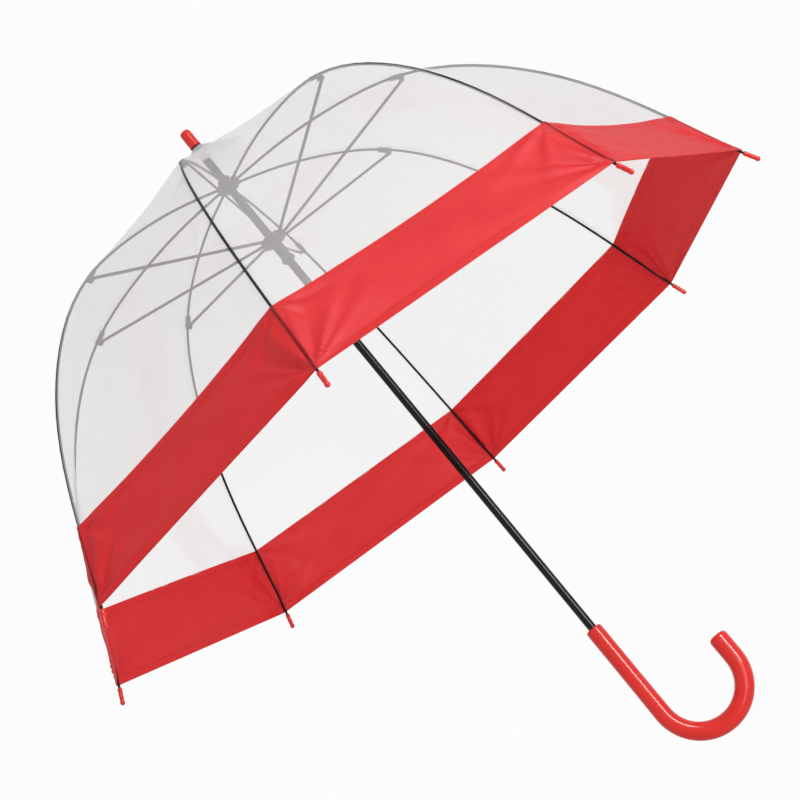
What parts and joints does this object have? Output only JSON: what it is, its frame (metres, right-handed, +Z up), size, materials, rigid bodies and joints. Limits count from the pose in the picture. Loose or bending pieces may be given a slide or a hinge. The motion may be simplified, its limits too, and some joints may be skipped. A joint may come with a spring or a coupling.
{
  "type": "stick umbrella",
  "caption": "Stick umbrella with a clear dome canopy, a coloured cloth border, hinged ribs and stretchers on a sliding runner, and a crook handle.",
  "frame": {"origin": "on the shaft axis, in the middle of the hand grip", "axes": "+Z up the shaft to the ferrule, +X the way the crook bends, +Y across the crook's hook"},
  "size_m": [0.8614, 0.8614, 0.8433],
  "materials": {
    "black_steel": "gloss black enamel",
    "red_plastic": "polished moulding",
    "red_cloth": "plain woven, coated",
    "clear_sheet": "clear flexible film",
    "dark_plastic": "satin moulding",
    "steel": "bright spring steel"
  },
  "bodies": {
    "shaft": {"shaft_tube": "black_steel", "crook_handle": "red_plastic", "ferrule_cap": "red_plastic", "apex_washer": "dark_plastic", "top_notch": "dark_plastic", "notch_wire": "steel", "top_stop_pin": "steel", "canopy_clear": "clear_sheet"},
    "runner": {"runner": "dark_plastic"},
    "top_catch": {"top_catch": "steel"},
    "bottom_catch": {"bottom_catch": "steel"},
    "rib_1_upper": {"rib_upper_1": "black_steel", "rib_bracket_1": "dark_plastic"},
    "rib_1_lower": {"rib_lower_1": "black_steel", "rib_tip_1": "red_plastic", "border_panel_1": "red_cloth"},
    "stretcher_1": {"stretcher_1": "black_steel"},
    "rib_2_upper": {"rib_upper_2": "black_steel", "rib_bracket_2": "dark_plastic"},
    "rib_2_lower": {"rib_lower_2": "black_steel", "rib_tip_2": "red_plastic", "border_panel_2": "red_cloth"},
    "stretcher_2": {"stretcher_2": "black_steel"},
    "rib_3_upper": {"rib_upper_3": "black_steel", "rib_bracket_3": "dark_plastic"},
    "rib_3_lower": {"rib_lower_3": "black_steel", "rib_tip_3": "red_plastic", "border_panel_3": "red_cloth"},
    "stretcher_3": {"stretcher_3": "black_steel"},
    "rib_4_upper": {"rib_upper_4": "black_steel", "rib_bracket_4": "dark_plastic"},
    "rib_4_lower": {"rib_lower_4": "black_steel", "rib_tip_4": "red_plastic", "border_panel_4": "red_cloth"},
    "stretcher_4": {"stretcher_4": "black_steel"},
    "rib_5_upper": {"rib_upper_5": "black_steel", "rib_bracket_5": "dark_plastic"},
    "rib_5_lower": {"rib_lower_5": "black_steel", "rib_tip_5": "red_plastic", "border_panel_5": "red_cloth"},
    "stretcher_5": {"stretcher_5": "black_steel"},
    "rib_6_upper": {"rib_upper_6": "black_steel", "rib_bracket_6": "dark_plastic"},
    "rib_6_lower": {"rib_lower_6": "black_steel", "rib_tip_6": "red_plastic", "border_panel_6": "red_cloth"},
    "stretcher_6": {"stretcher_6": "black_steel"},
    "rib_7_upper": {"rib_upper_7": "black_steel", "rib_bracket_7": "dark_plastic"},
    "rib_7_lower": {"rib_lower_7": "black_steel", "rib_tip_7": "red_plastic", "border_panel_7": "red_cloth"},
    "stretcher_7": {"stretcher_7": "black_steel"},
    "rib_8_upper": {"rib_upper_8": "black_steel", "rib_bracket_8": "dark_plastic"},
    "rib_8_lower": {"rib_lower_8": "black_steel", "rib_tip_8": "red_plastic", "border_panel_8": "red_cloth"},
    "stretcher_8": {"stretcher_8": "black_steel"}
  },
  "joints": [
    {"name": "runner_slide", "type": "slide", "parent": "shaft", "child": "runner", "axis": [0, 0, -1], "range_m": [0, 0.3308], "deforming": ["canopy_clear", "border_panel_1", "border_panel_2", "border_panel_3", "border_panel_4", "border_panel_5", "border_panel_6", "border_panel_7", "border_panel_8", "top_catch", "bottom_catch"]},
    {"name": "top_catch_press", "type": "slide", "parent": "shaft", "child": "top_catch", "axis": [0, -1, 0], "range_m": [0, 0.0025], "stiffness_N_per_m": 400},
    {"name": "bottom_catch_press", "type": "slide", "parent": "shaft", "child": "bottom_catch", "axis": [0, -1, 0], "range_m": [0, 0.0025], "stiffness_N_per_m": 400},
    {"name": "rib_1_hinge", "type": "hinge", "parent": "shaft", "child": "rib_1_upper", "pos_m": [0.0115, 0, 0.652], "axis": [0, 1, 0], "range_deg": [0, 78.9]},
    {"name": "rib_1_flex", "type": "hinge", "parent": "rib_1_upper", "child": "rib_1_lower", "pos_m": [0.214, 0, 0.618], "axis": [0, -1, 0], "range_deg": [0, 44.81]},
    {"name": "stretcher_1_hinge", "type": "hinge", "parent": "rib_1_upper", "child": "stretcher_1", "pos_m": [0.21209, 0, 0.61404], "axis": [0, -1, 0], "range_deg": [0, 157.09]},
    {"name": "rib_2_hinge", "type": "hinge", "parent": "shaft", "child": "rib_2_upper", "pos_m": [0.00813, 0.00813, 0.652], "axis": [-0.7071, 0.7071, 0], "range_deg": [0, 78.9]},
    {"name": "rib_2_flex", "type": "hinge", "parent": "rib_2_upper", "child": "rib_2_lower", "pos_m": [0.15132, 0.15132, 0.618], "axis": [0.7071, -0.7071, 0], "range_deg": [0, 44.81]},
    {"name": "stretcher_2_hinge", "type": "hinge", "parent": "rib_2_upper", "child": "stretcher_2", "pos_m": [0.14997, 0.14997, 0.61404], "axis": [0.7071, -0.7071, 0], "range_deg": [0, 157.09]},
    {"name": "rib_3_hinge", "type": "hinge", "parent": "shaft", "child": "rib_3_upper", "pos_m": [0, 0.0115, 0.652], "axis": [-1, 0, 0], "range_deg": [0, 78.9]},
    {"name": "rib_3_flex", "type": "hinge", "parent": "rib_3_upper", "child": "rib_3_lower", "pos_m": [0, 0.214, 0.618], "axis": [1, 0, 0], "range_deg": [0, 44.81]},
    {"name": "stretcher_3_hinge", "type": "hinge", "parent": "rib_3_upper", "child": "stretcher_3", "pos_m": [0, 0.21209, 0.61404], "axis": [1, 0, 0], "range_deg": [0, 157.09]},
    {"name": "rib_4_hinge", "type": "hinge", "parent": "shaft", "child": "rib_4_upper", "pos_m": [-0.00813, 0.00813, 0.652], "axis": [-0.7071, -0.7071, 0], "range_deg": [0, 78.9]},
    {"name": "rib_4_flex", "type": "hinge", "parent": "rib_4_upper", "child": "rib_4_lower", "pos_m": [-0.15132, 0.15132, 0.618], "axis": [0.7071, 0.7071, 0], "range_deg": [0, 44.81]},
    {"name": "stretcher_4_hinge", "type": "hinge", "parent": "rib_4_upper", "child": "stretcher_4", "pos_m": [-0.14997, 0.14997, 0.61404], "axis": [0.7071, 0.7071, 0], "range_deg": [0, 157.09]},
    {"name": "rib_5_hinge", "type": "hinge", "parent": "shaft", "child": "rib_5_upper", "pos_m": [-0.0115, 0, 0.652], "axis": [0, -1, 0], "range_deg": [0, 78.9]},
    {"name": "rib_5_flex", "type": "hinge", "parent": "rib_5_upper", "child": "rib_5_lower", "pos_m": [-0.214, 0, 0.618], "axis": [0, 1, 0], "range_deg": [0, 44.81]},
    {"name": "stretcher_5_hinge", "type": "hinge", "parent": "rib_5_upper", "child": "stretcher_5", "pos_m": [-0.21209, 0, 0.61404], "axis": [0, 1, 0], "range_deg": [0, 157.09]},
    {"name": "rib_6_hinge", "type": "hinge", "parent": "shaft", "child": "rib_6_upper", "pos_m": [-0.00813, -0.00813, 0.652], "axis": [0.7071, -0.7071, 0], "range_deg": [0, 78.9]},
    {"name": "rib_6_flex", "type": "hinge", "parent": "rib_6_upper", "child": "rib_6_lower", "pos_m": [-0.15132, -0.15132, 0.618], "axis": [-0.7071, 0.7071, 0], "range_deg": [0, 44.81]},
    {"name": "stretcher_6_hinge", "type": "hinge", "parent": "rib_6_upper", "child": "stretcher_6", "pos_m": [-0.14997, -0.14997, 0.61404], "axis": [-0.7071, 0.7071, 0], "range_deg": [0, 157.09]},
    {"name": "rib_7_hinge", "type": "hinge", "parent": "shaft", "child": "rib_7_upper", "pos_m": [0, -0.0115, 0.652], "axis": [1, 0, 0], "range_deg": [0, 78.9]},
    {"name": "rib_7_flex", "type": "hinge", "parent": "rib_7_upper", "child": "rib_7_lower", "pos_m": [0, -0.214, 0.618], "axis": [-1, 0, 0], "range_deg": [0, 44.81]},
    {"name": "stretcher_7_hinge", "type": "hinge", "parent": "rib_7_upper", "child": "stretcher_7", "pos_m": [0, -0.21209, 0.61404], "axis": [-1, 0, 0], "range_deg": [0, 157.09]},
    {"name": "rib_8_hinge", "type": "hinge", "parent": "shaft", "child": "rib_8_upper", "pos_m": [0.00813, -0.00813, 0.652], "axis": [0.7071, 0.7071, 0], "range_deg": [0, 78.9]},
    {"name": "rib_8_flex", "type": "hinge", "parent": "rib_8_upper", "child": "rib_8_lower", "pos_m": [0.15132, -0.15132, 0.618], "axis": [-0.7071, -0.7071, 0], "range_deg": [0, 44.81]},
    {"name": "stretcher_8_hinge", "type": "hinge", "parent": "rib_8_upper", "child": "stretcher_8", "pos_m": [0.14997, -0.14997, 0.61404], "axis": [-0.7071, -0.7071, 0], "range_deg": [0, 157.09]}
  ],
  "couplings": [
    {"joint": "rib_1_hinge", "follows": "runner_slide", "rad_per_m": 4.1617},
    {"joint": "rib_1_flex", "follows": "runner_slide", "rad_per_m": 2.3634},
    {"joint": "stretcher_1_hinge", "follows": "runner_slide", "rad_per_m": 8.2869},
    {"joint": "rib_2_hinge", "follows": "runner_slide", "rad_per_m": 4.1617},
    {"joint": "rib_2_flex", "follows": "runner_slide", "rad_per_m": 2.3634},
    {"joint": "stretcher_2_hinge", "follows": "runner_slide", "rad_per_m": 8.2869},
    {"joint": "rib_3_hinge", "follows": "runner_slide", "rad_per_m": 4.1617},
    {"joint": "rib_3_flex", "follows": "runner_slide", "rad_per_m": 2.3634},
    {"joint": "stretcher_3_hinge", "follows": "runner_slide", "rad_per_m": 8.2869},
    {"joint": "rib_4_hinge", "follows": "runner_slide", "rad_per_m": 4.1617},
    {"joint": "rib_4_flex", "follows": "runner_slide", "rad_per_m": 2.3634},
    {"joint": "stretcher_4_hinge", "follows": "runner_slide", "rad_per_m": 8.2869},
    {"joint": "rib_5_hinge", "follows": "runner_slide", "rad_per_m": 4.1617},
    {"joint": "rib_5_flex", "follows": "runner_slide", "rad_per_m": 2.3634},
    {"joint": "stretcher_5_hinge", "follows": "runner_slide", "rad_per_m": 8.2869},
    {"joint": "rib_6_hinge", "follows": "runner_slide", "rad_per_m": 4.1617},
    {"joint": "rib_6_flex", "follows": "runner_slide", "rad_per_m": 2.3634},
    {"joint": "stretcher_6_hinge", "follows": "runner_slide", "rad_per_m": 8.2869},
    {"joint": "rib_7_hinge", "follows": "runner_slide", "rad_per_m": 4.1617},
    {"joint": "rib_7_flex", "follows": "runner_slide", "rad_per_m": 2.3634},
    {"joint": "stretcher_7_hinge", "follows": "runner_slide", "rad_per_m": 8.2869},
    {"joint": "rib_8_hinge", "follows": "runner_slide", "rad_per_m": 4.1617},
    {"joint": "rib_8_flex", "follows": "runner_slide", "rad_per_m": 2.3634},
    {"joint": "stretcher_8_hinge", "follows": "runner_slide", "rad_per_m": 8.2869}
  ]
}
